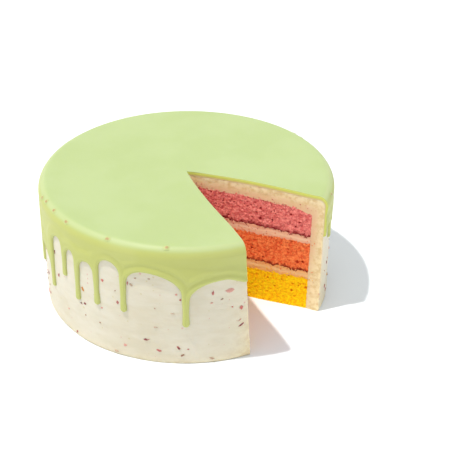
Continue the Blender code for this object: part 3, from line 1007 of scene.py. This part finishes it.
def glaze_edge(angle, turn, proud):
    """(radius, height) on the rounded edge, `turn` radians over from level, of the glaze's face or its
    back."""
    centre = COAT_RADIUS - CREAM_EDGE
    if not proud:
        reach = CREAM_EDGE - GLAZE_SINK
        return centre + reach * math.sin(turn), EDGE_FOOT + reach * math.cos(turn)
    foot_radius, _ = glaze_side(angle, EDGE_FOOT, True)
    top = CAKE_HEIGHT - top_wave(angle, centre)
    return mix(centre, foot_radius, math.sin(turn)), mix(EDGE_FOOT, top, math.cos(turn))


def top_wave(angle, radius):
    """How far the level top lies below its highest."""
    spot = Vector((radius * math.cos(angle), radius * math.sin(angle), 0.2))
    return TOP_WAVE * (0.5 + 0.5 * uneven(spot * TOP_WAVES, 1.0, 2))


def glaze_skin(proud):
    """One skin of the glaze, as rows from the axis to the end of the band, and the grids of its drips. A
    point is its place with its marks: how level it lies, from 0 to 1, or BACK_LEVEL on the back; and its
    distance to the lip in millimetres."""
    centre = COAT_RADIUS - CREAM_EDGE

    def corner(angle, radius, height, level, distance):
        part = (angle - START_TOP) / (END_TOP - START_TOP)
        part = round(part) if abs(part - round(part)) < TINY else part
        softened = SOFT_CORNER if proud and distance > TINY else 0
        spot = behind_knife(place(angle, radius, height), part, CREAM_BEHIND + softened)
        return spot, (level if proud else BACK_LEVEL, 1000 * distance)

    def side_corner(angle, height):
        distance = to_lip(angle, height)
        return corner(angle, *glaze_side(angle, height, proud), 0, distance)

    def top_corner(angle, radius):
        height = CAKE_HEIGHT - top_wave(angle, radius) if proud else COAT_TOP - GLAZE_SINK
        return corner(angle, radius, height, 1, LIP_ROUND)

    rows = []
    for ring in range(TOP_RINGS + 1):
        radius = TOP_REACH * ring / TOP_RINGS
        angles = [mix(START_TOP, END_TOP, step / TOP_STRIPS) for step in range(TOP_STRIPS + 1)]
        rows.append([top_corner(angle, radius) for angle in angles])
    rows.append([top_corner(angle, mix(TOP_REACH, centre, 0.5)) for angle, _ in GLAZE_BAND])
    for step in range(EDGE_STEPS + 1):
        turn = math.pi / 2 * step / EDGE_STEPS
        level = math.cos(turn) ** 2
        edge = [(angle, *glaze_edge(angle, turn, proud)) for angle, _ in GLAZE_BAND]
        rows.append([corner(*spot, level, LIP_ROUND) for spot in edge])
    for part in BAND_PARTS:
        rows.append([side_corner(angle, mix(EDGE_FOOT, height, part)) for angle, height in GLAZE_BAND])
    petals = [[[side_corner(*spot) for spot in row] for row in petal] for petal in GLAZE_PETALS]
    return rows, petals


def pour_glaze():
    """The glaze in one closed body: its face and its back, joined along the lip and at the cut."""
    places = []
    faces = []
    index = {}

    def corner(spot):
        key = tuple(round(x / SAME_PLACE) for x in spot[0])
        if key not in index:
            index[key] = len(places)
            places.append(spot)
        return index[key]

    def numbered(rows):
        return [[corner(spot) for spot in row] for row in rows]

    def cut_corner(outer, inner, part, through):
        if outer == inner:
            return outer
        spot = places[outer][0].lerp(places[inner][0], through)
        forward = SOFT_CORNER * (1 - through) * ease(3 * through)
        return corner((behind_knife(spot, part, -forward), (mix(CUT_LEVEL, BACK_LEVEL, through), 0)))

    skins = []
    for proud in (True, False):
        rows, petals = glaze_skin(proud)
        skins.append(numbered(rows))
        for grid in [skins[-1]] + [numbered(petal) for petal in petals]:
            sew_grid(faces, grid, places)
    for end, part in ((0, 0), (-1, 1)):
        outer_path, inner_path = [[row[end] for row in rows] for rows in skins]
        paths = [outer_path]
        for level in range(1, GLAZE_LEVELS):
            through = level / GLAZE_LEVELS
            paths.append([cut_corner(*pair, part, through) for pair in zip(outer_path, inner_path)])
        sew_grid(faces, paths + [inner_path], places)
    values = {"level": [spot[1][0] for spot in places], "to_lip": [spot[1][1] for spot in places]}
    return new_piece("poured_glaze", [spot[0] for spot in places], faces, values, 50)


def sew_grid(faces, grid, places):
    """Fills the strips between rows of corners."""
    for first, second in zip(grid, grid[1:]):
        if len(first) != len(second):
            sew_by_angle(faces, first, second, places)
            continue
        for k in range(len(first) - 1):
            add_corners(faces, [first[k], first[k + 1], second[k + 1], second[k]])


def sew_by_angle(faces, first, second, places):
    """Fills the strip between two rows of corners of unlike counts, by their angles round the cake from a
    place in the cut."""

    def around(corner):
        spot = places[corner][0]
        return (math.atan2(spot.y, spot.x) - IN_THE_CUT) % (2 * math.pi)

    a = b = 0
    while a < len(first) - 1 or b < len(second) - 1:
        last_b = b == len(second) - 1
        if last_b or (a < len(first) - 1 and around(first[a + 1]) <= around(second[b + 1])):
            add_corners(faces, [first[a], first[a + 1], second[b]])
            a += 1
        else:
            add_corners(faces, [first[a], second[b + 1], second[b]])
            b += 1


# How far up from the lip its own tone reaches, in millimetres, and how wide the painted shade of the fold
# is
LIP_TONE = 1.4
FOLD_SHADE_WIDTH = (0.2, 2.6)
TONE_WAVES = 26.0
FILM_WAVES = 90.0
FILM_BUMP = 0.0002


def product(tree, first, second):
    return put(tree, "Math", {0: first, 1: second}, operation="MULTIPLY").outputs[0]


def shift_tone(tree, colour, saturation, value):
    """A colour made more or less strong and more or less bright."""
    inputs = {"Saturation": saturation, "Value": value, "Color": colour}
    return put(tree, "HueSaturation", inputs).outputs["Color"]


def glaze_finish(piece, top, side, rim_highlight, lip, section, under):
    """Set glaze: soft gloss, deeper down the side, a painted highlight in a paler band over the rounded
    edge, painted shade in the fold above the lip, and yellow where the light comes through its cut edge,
    which blends into the cream under it."""
    material, tree, _ = new_finish(
        piece.name, Subsurface_Weight=0.25, Subsurface_Radius=(1.0, 1.0, 0.5), Subsurface_Scale=0.003,
        Specular_IOR_Level=0.4,
    )
    level = mark(tree, "level")
    to_the_lip = mark(tree, "to_lip")
    drift = grain_at(tree, object_place(tree), TONE_WAVES, 3.0, 0.5)
    patches = remap(tree, drift, 0.35, 0.65)
    colour = blend(tree, remap(tree, level, 0.0, 0.9), side, top)
    colour = blend(tree, patches, shift_tone(tree, colour, 1.06, 0.96), colour)
    # Painted highlight: a paler band along the rounded edge
    edge_highlight = product(tree, remap(tree, level, 0.995, 0.8), remap(tree, level, 0.25, 0.65, 0.0, 0.75))
    colour = blend(tree, edge_highlight, colour, rim_highlight)
    # Painted shade in the fold above the lip's bead, coming and going in patches
    off_fold = put(tree, "Math", {0: to_the_lip, 1: 1000 * FOLD_FROM_LIP}, operation="SUBTRACT").outputs[0]
    off_fold = put(tree, "Math", {0: off_fold}, operation="ABSOLUTE").outputs[0]
    fold_shade = product(tree, remap(tree, off_fold, *FOLD_SHADE_WIDTH, 1.0, 0.0), patches)
    colour = blend(tree, fold_shade, colour, shift_tone(tree, colour, 1.04, 0.93))
    colour = blend(tree, remap(tree, to_the_lip, 0.0, LIP_TONE, 0.5, 0.0), colour, lip)
    colour = blend(tree, remap(tree, level, CUT_LEVEL + 0.1, -0.1, 1.0, 0.0), colour, section)
    colour = blend(tree, remap(tree, level, BACK_LEVEL, BACK_LEVEL + 0.55, 1.0, 0.0), colour, under)
    roughness = remap(tree, drift, 0.3, 0.7, 0.48, 0.56)
    film = grain_at(tree, object_place(tree), FILM_WAVES, 2.0, 0.4)
    lay_finish(piece, material, colour, roughness, film, FILM_BUMP)


glaze = pour_glaze()
# The rim colour is a painted highlight along the rounded edge
glaze_finish(
    glaze,
    top=paint(179, 194, 136), side=paint(187, 190, 112), rim_highlight=paint(186, 197, 140),
    lip=paint(190, 194, 123), section=paint(198, 204, 96), under=paint(218, 196, 130),
)
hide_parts("glaze")

# Fruit in the cream: flakes of freeze-dried berry and citrus stirred into the coat's buttercream. The knife
# left the largest of them lying flat in the surface of the side.

FLECK_THICKNESS = 0.00045
FLECK_ROUGHEN = 0.85
FLECK_GRAINS = 1500.0
FLECK_BUMP = 0.0004

# How much lighter some flecks are than others, and how much lighter a fleck is where it sinks into the
# cream
TONE_APART = 0.8
TONE_TURN = 7.3
TONE_AT_RIM = 0.5

# The kinds of fruit, each with its dark and its light tone, and its share of the flecks round the back
FLECK_KINDS = {
    "wine": (paint(100, 40, 44), paint(188, 112, 104), 0.42),
    "rose": (paint(202, 104, 96), paint(214, 158, 142), 0.30),
    "brown": (paint(134, 90, 70), paint(190, 160, 134), 0.22),
    "amber": (paint(192, 118, 44), paint(216, 172, 104), 0.06),
}

# Those at the front: the angle in degrees, the height, the half length, the half width and the lean in
# degrees
FRONT_FLECKS = {
    "wine": (
        (209.8, 0.0586, 0.0018, 0.0005, 88), (212.5, 0.0414, 0.0017, 0.0008, 80),
        (223.8, 0.0035, 0.0012, 0.0009, 60), (229.4, 0.0330, 0.0011, 0.0009, 0),
        (245.2, 0.0455, 0.0013, 0.0009, 80), (249.6, 0.0636, 0.0015, 0.0005, 85),
        (255.9, 0.0188, 0.0014, 0.0010, 10), (257.0, 0.0192, 0.0009, 0.0003, 15),
        (260.9, 0.0108, 0.0016, 0.0009, -10), (268.2, 0.0138, 0.0018, 0.0009, -55),
        (269.1, 0.0547, 0.0009, 0.0006, 80), (280.4, 0.0591, 0.0016, 0.0008, 85),
        (290.1, 0.0289, 0.0021, 0.0007, 35), (271.4, 0.0129, 0.0007, 0.0005, 0),
    ),
    "rose": (
        (238.9, 0.0601, 0.0012, 0.0010, 70), (247.6, 0.0104, 0.0014, 0.0011, 40),
        (286.5, 0.0596, 0.0027, 0.0017, 10), (290.4, 0.0432, 0.0015, 0.0013, 60),
        (289.5, 0.0331, 0.0014, 0.0003, 30), (267.7, 0.0588, 0.0009, 0.0007, 20),
        (287.0, 0.0454, 0.0007, 0.0006, 0), (279.8, 0.0510, 0.0010, 0.0006, 15),
        (218.9, 0.0188, 0.0007, 0.0006, 0), (238.0, 0.0362, 0.0008, 0.0006, 30),
    ),
    "brown": (
        (227.5, 0.0319, 0.0009, 0.0007, 0), (250.9, 0.0629, 0.0013, 0.0008, -30),
        (243.9, 0.0030, 0.0015, 0.0006, 0), (269.4, 0.0076, 0.0014, 0.0007, 25),
        (279.2, 0.0038, 0.0018, 0.0008, -30), (229.4, 0.0232, 0.0008, 0.0006, 0),
        (236.8, 0.0227, 0.0008, 0.0005, 0), (252.7, 0.0689, 0.0010, 0.0006, 20),
        (257.9, 0.0700, 0.0008, 0.0005, 0), (283.5, 0.0532, 0.0012, 0.0005, 20),
        (260.0, 0.0306, 0.0015, 0.0003, 0), (266.3, 0.0429, 0.0014, 0.0003, -5),
        (259.8, 0.0462, 0.0005, 0.0004, 0), (244.3, 0.0547, 0.0008, 0.0004, 40),
    ),
    "amber": (
        (228.6, 0.0451, 0.0021, 0.0010, 115),
    ),
}

# The flecks round the back follow a seeded rule, with one draw for each fleck that may be there
FLECK_SEED = 500
FLECK_DRAWS = 150
FLECK_FROM_CUT = math.radians(4)
LAST_BACK_FLECK = math.radians(200)
FLECK_HEIGHTS = (0.005, 0.070)
FLECK_LENGTHS = (0.0010, 0.0020)
FLECK_SLIMNESS = (0.45, 0.9)
FLECK_SPACING = 0.006
SMALL_FLECK_SEED = 900
SMALL_FLECK_SIZE = 0.5


def under_glaze(angle, height):
    """Whether this point of the side is covered: a line up from the base has then crossed the lip once more
    out than in."""
    crossings = 0
    for (angle_a, height_a), (angle_b, height_b) in zip(GLAZE_LIP, GLAZE_LIP[1:]):
        if (angle_a > angle) != (angle_b > angle):
            crossings += mix(height_a, height_b, (angle - angle_a) / (angle_b - angle_a)) < height
    return crossings % 2 == 1


def back_flecks(seed, slighter):
    """Flecks on the bare cream round the back, clear of the glaze, the cut, the foot and each other, each
    with its kind. Their sizes are multiplied by `slighter`."""
    flecks = []
    for number in range(FLECK_DRAWS):
        draw = random.Random(seed + number)
        angle = draw.uniform(START_TOP + FLECK_FROM_CUT, LAST_BACK_FLECK)
        height = draw.uniform(*FLECK_HEIGHTS)
        length = draw.uniform(*FLECK_LENGTHS) * slighter
        width = length * draw.uniform(*FLECK_SLIMNESS)
        lean = draw.uniform(-90, 90)
        away = [math.hypot((angle - other[0]) * COAT_RADIUS, height - other[1]) for other, _ in flecks]
        clear = to_lip(angle, height) > length + 2 * GAP
        if clear and not under_glaze(angle, height) and min(away, default=1) > FLECK_SPACING:
            shares = [share for _, _, share in FLECK_KINDS.values()]
            kind = draw.choices(list(FLECK_KINDS), shares)[0]
            flecks.append(((angle, height, length, width, lean), kind))
    return flecks


def add_nugget(places, faces, matrix, roughen, seed, subdivisions=2, spread=1):
    """Adds a rounded lump, roughened by noise, to lists of places and faces. Above 1, `spread` lets its
    sides run out into the ground. Gives back how far each of its points stands above the lump's middle, to
    1."""
    lump = bmesh.new()
    bmesh.ops.create_icosphere(lump, subdivisions=subdivisions, radius=1)
    first = len(places)
    for vert in lump.verts:
        vert.co.z = math.copysign(abs(vert.co.z) ** spread, vert.co.z)
        uneven = 1 + roughen * noise.noise(vert.co * 1.7 + Vector((seed * 3.1, seed * 1.7, seed)))
        places.append(matrix @ (vert.co * uneven))
    faces += [[first + vert.index for vert in face.verts] for face in lump.faces]
    heights = [max(vert.co.z, 0) for vert in lump.verts]
    lump.free()
    return heights


def facing_out(spot):
    """A turn that carries +Z to the outward direction at a place of the side, with +X level and +Y up."""
    outward = Vector((spot.x, spot.y, 0)).normalized()
    level = Vector((-outward.y, outward.x, 0))
    return Matrix((level, Vector((0, 0, 1)), outward)).transposed().to_4x4()


def set_flecks(kind, dark, light, flecks):
    """The flecks of one kind, half sunk into the side, each in a tone of its own between dark and light."""
    places = []
    faces = []
    tones = []
    for k, (angle, height, length, width, lean) in enumerate(flecks):
        spot = place(angle, wall_radius(height) + side_relief(angle, height), height)
        size = Matrix.Diagonal((length, width, FLECK_THICKNESS, 1))
        turn = Matrix.Rotation(math.radians(lean), 4, "Z")
        lying = Matrix.Translation(spot) @ facing_out(spot) @ turn @ size
        heights = add_nugget(places, faces, lying, FLECK_ROUGHEN, k)
        own_tone = TONE_APART * abs(math.sin(k * TONE_TURN))
        tones += [own_tone + TONE_AT_RIM * (1 - proud) for proud in heights]
    piece = new_piece("fruit_flecks_" + kind, places, faces, {"tone": tones}, 40)
    material, tree, _ = new_finish(piece.name, Subsurface_Weight=0.1, Subsurface_Scale=0.001)
    rough = grain_at(tree, object_place(tree), FLECK_GRAINS, 3.0, 0.6)
    tone = sum_of(tree, rough, mark(tree, "tone"), 0.5)
    shade = blend(tree, remap(tree, tone, 0.45, 1.0), dark, light)
    lay_finish(piece, material, shade, remap(tree, rough, 0.3, 0.7, 0.5, 0.75), rough, FLECK_BUMP)


all_flecks = {}
for kind, flecks in FRONT_FLECKS.items():
    all_flecks[kind] = [(math.radians(angle), *rest) for angle, *rest in flecks]
for fleck, kind in back_flecks(FLECK_SEED, 1.0) + back_flecks(SMALL_FLECK_SEED, SMALL_FLECK_SIZE):
    all_flecks[kind].append(fleck)
for kind, (dark, light, _) in FLECK_KINDS.items():
    set_flecks(kind, dark, light, all_flecks[kind])

# Fruit under the glaze: a few flakes lay proud on the rounded edge when the glaze went over them, and show
# as small pinkish bumps in it.

# Those at the front by their angle in degrees and how far over the edge they lie, in radians from level;
# how many there are round the back and how far over; and a bump's half sizes, its unevenness and how its
# rim runs out
FRONT_BUMPS = ((203.6, 0.72), (211.5, 0.66), (221.2, 0.74), (241.8, 0.58), (264.5, 0.47))
BUMP_SEED = 3
BACK_BUMPS = 6
BUMP_TURNS = (0.8, 1.05)
BUMP_SIZE = (0.0024, 0.0018, 0.0005)
BUMP_ROUGHEN = 0.5
BUMP_SUBDIVISIONS = 3
BUMP_SPREAD = 2.5
BUMP_GRAINS = 900.0
BUMP_RELIEF = 0.0001
BUMP_MIDDLE = paint(176, 144, 96)
BUMP_RIM = paint(186, 194, 128)


def set_bumps():
    """The covered flakes, each a low lump that runs out into the glaze."""
    draw = random.Random(BUMP_SEED)
    bumps = [(math.radians(angle), turn) for angle, turn in FRONT_BUMPS]
    for _ in range(BACK_BUMPS):
        bumps.append((draw.uniform(START_TOP + FLECK_FROM_CUT, LAST_BACK_FLECK), draw.uniform(*BUMP_TURNS)))
    places = []
    faces = []
    middles = []
    for k, (angle, turn) in enumerate(bumps):
        spot = place(angle, *glaze_edge(angle, turn, True))
        tilt = Matrix.Rotation(turn - math.pi / 2, 4, "X")
        lying = Matrix.Translation(spot) @ facing_out(spot) @ tilt @ Matrix.Diagonal((*BUMP_SIZE, 1))
        middles += add_nugget(places, faces, lying, BUMP_ROUGHEN, k, BUMP_SUBDIVISIONS, BUMP_SPREAD)
    piece = new_piece("fruit_under_glaze", places, faces, {"middle": middles})
    material, tree, _ = new_finish(piece.name, Specular_IOR_Level=0.4)
    grain = grain_at(tree, object_place(tree), BUMP_GRAINS)
    covered = sum_of(tree, mark(tree, "middle"), grain, -0.5)
    shade = blend(tree, remap(tree, covered, 0.1, 0.75), BUMP_RIM, BUMP_MIDDLE)
    lay_finish(piece, material, shade, remap(tree, grain, 0.3, 0.7, 0.48, 0.56), grain, BUMP_RELIEF)


set_bumps()

# Crumbs on the cut: the knife carried crumbs of each sponge out into the cream next to it, on both faces.

CRUMB_SEED = 21
CRUMBS_PER_LAYER = 150
CRUMB_SIZES = (0.00022, 0.00062)
CRUMB_WIDTHS = (0.6, 1)
CRUMB_THICKNESSES = (0.5, 0.9)
CRUMB_ROUGHEN = 0.9
CRUMB_REACH = 0.0042
PAST_THE_SPONGE = 0.004
PROUD_OF_CREAM = 0.0001
CRUMB_SHADE = 0.7
CRUMB_BUMP = 0.0002

# Each sponge's underside, its top and the colour of its crumbs
CRUMB_KINDS = {
    "yellow": (0, YELLOW_TOP, paint(250, 184, 40)),
    "orange": (LOWER_CREAM_TOP, ORANGE_TOP, paint(232, 112, 64)),
    "pink": (UPPER_CREAM_TOP, PINK_TOP, paint(206, 98, 92)),
}


def drag_crumbs(kind, bottom, top, colour, draw):
    """The crumbs of one sponge, most of them close to its edges. Nothing is dragged off the bottom sponge's
    underside."""
    places = []
    faces = []
    for k in range(CRUMBS_PER_LAYER):
        part = draw.choice((0, 1))
        angle = START_TOP if part == 0 else END_TOP
        radius = draw.uniform(AXIS_CALM, SPONGE_RADIUS + PAST_THE_SPONGE)
        away = CRUMB_REACH * draw.random() ** 2
        edge = draw.choice((bottom, top)) if bottom else top
        height = edge - away if edge == bottom else edge + away
        depth = dragged(radius, height, part) - PROUD_OF_CREAM
        spot = behind_knife(place(angle, radius, height), part, depth)
        size = draw.uniform(*CRUMB_SIZES)
        turn = Matrix.Rotation(draw.uniform(0, math.pi), 4, Vector((draw.random(), draw.random(), 1)))
        width = size * draw.uniform(*CRUMB_WIDTHS)
        thickness = size * draw.uniform(*CRUMB_THICKNESSES)
        lying = Matrix.Translation(spot) @ turn @ Matrix.Diagonal((size, width, thickness, 1))
        add_nugget(places, faces, lying, CRUMB_ROUGHEN, k, subdivisions=1)
    piece = new_piece("crumbs_" + kind, places, faces, {}, 30)
    material, tree, _ = new_finish(piece.name)
    grain = place_group(tree, CRUMB_GRAIN, Grains=FINE_GRAINS)
    darker = (*[CRUMB_SHADE * value for value in colour[:3]], 1)
    shade = blend(tree, grain["Shade"], darker, colour)
    roughness = remap(tree, grain["Fine"], 0.0, 1.0, 0.95, 0.8)
    lay_finish(piece, material, shade, roughness, grain["Fine"], CRUMB_BUMP)


crumb_draw = random.Random(CRUMB_SEED)
for kind, (bottom, top, colour) in CRUMB_KINDS.items():
    drag_crumbs(kind, bottom, top, colour, crumb_draw)

# Table and light: a plain white table, one hard-edged lamp high on the left and a bright white room round
# it. The camera looks down at the cake from the front, a little to its right.

FLOOR_SIZE = 8.0
FLOOR_COLOUR = (0.90, 0.93, 0.955, 1)
ROOM_STRENGTH = 0.80
ROOM_COLOUR = (0.965, 0.99, 1.02, 1)
LAMP_STRENGTH = 2.4
LAMP_COLOUR = (1.0, 0.985, 0.96)
LAMP_ANGLE = math.radians(2.0)
LAMP_FROM = Vector((-0.346, -0.090, 0.934))
CAMERA_TARGET = Vector((0.0287, 0.0024, 0.0480))
CAMERA_DISTANCE = 0.8855
CAMERA_ELEVATION = math.radians(31.0)
CAMERA_ROLL = math.radians(0.35)
CAMERA_LENS = 92.4
CAMERA_SENSOR = 36.0


def lay_table():
    """One large matt square under the cake."""
    half = FLOOR_SIZE / 2
    corners = [(-half, -half, 0), (half, -half, 0), (half, half, 0), (-half, half, 0)]
    data = bpy.data.meshes.new("table")
    data.from_pydata(corners, [], [(0, 1, 2, 3)])
    table = bpy.data.objects.new("table", data)
    bpy.context.scene.collection.objects.link(table)
    material, _, _ = new_finish("table", Base_Color=FLOOR_COLOUR, Roughness=0.9, Specular_IOR_Level=0.0)
    data.materials.append(material)


def light_room():
    """A room of even white light. The camera sees it as pure white."""
    world = bpy.data.worlds.new("room")
    world.use_nodes = True
    tree = world.node_tree
    seen = put(tree, "LightPath").outputs["Is Camera Ray"]
    strength = remap(tree, seen, 0.0, 1.0, ROOM_STRENGTH, 1.0)
    background = tree.nodes["Background"]
    background.inputs["Color"].default_value = ROOM_COLOUR
    tree.links.new(strength, background.inputs["Strength"])
    bpy.context.scene.world = world


def hang_lamp():
    """One lamp far off, which throws hard-edged shadows to the right."""
    data = bpy.data.lights.new("lamp", "SUN")
    data.energy = LAMP_STRENGTH
    data.angle = LAMP_ANGLE
    data.color = LAMP_COLOUR
    lamp = bpy.data.objects.new("lamp", data)
    lamp.rotation_euler = LAMP_FROM.to_track_quat("Z", "Y").to_euler()
    bpy.context.scene.collection.objects.link(lamp)


def set_camera():
    """The camera in front of the cake, tilted down and rolled a little."""
    data = bpy.data.cameras.new("camera")
    data.lens = CAMERA_LENS
    data.sensor_width = CAMERA_SENSOR
    camera = bpy.data.objects.new("camera", data)
    bpy.context.scene.collection.objects.link(camera)
    back = Vector((0, -math.cos(CAMERA_ELEVATION), math.sin(CAMERA_ELEVATION)))
    right = Vector((1, 0, 0))
    up = back.cross(right)
    turned_right = right * math.cos(CAMERA_ROLL) + up * math.sin(CAMERA_ROLL)
    turned_up = up * math.cos(CAMERA_ROLL) - right * math.sin(CAMERA_ROLL)
    turned = Matrix((turned_right, turned_up, back)).transposed().to_4x4()
    camera.matrix_world = Matrix.Translation(CAMERA_TARGET + back * CAMERA_DISTANCE) @ turned
    bpy.context.scene.camera = camera


lay_table()
light_room()
hang_lamp()
set_camera()
bpy.context.scene.view_settings.view_transform = "Standard"
bpy.context.scene.view_settings.look = "None"
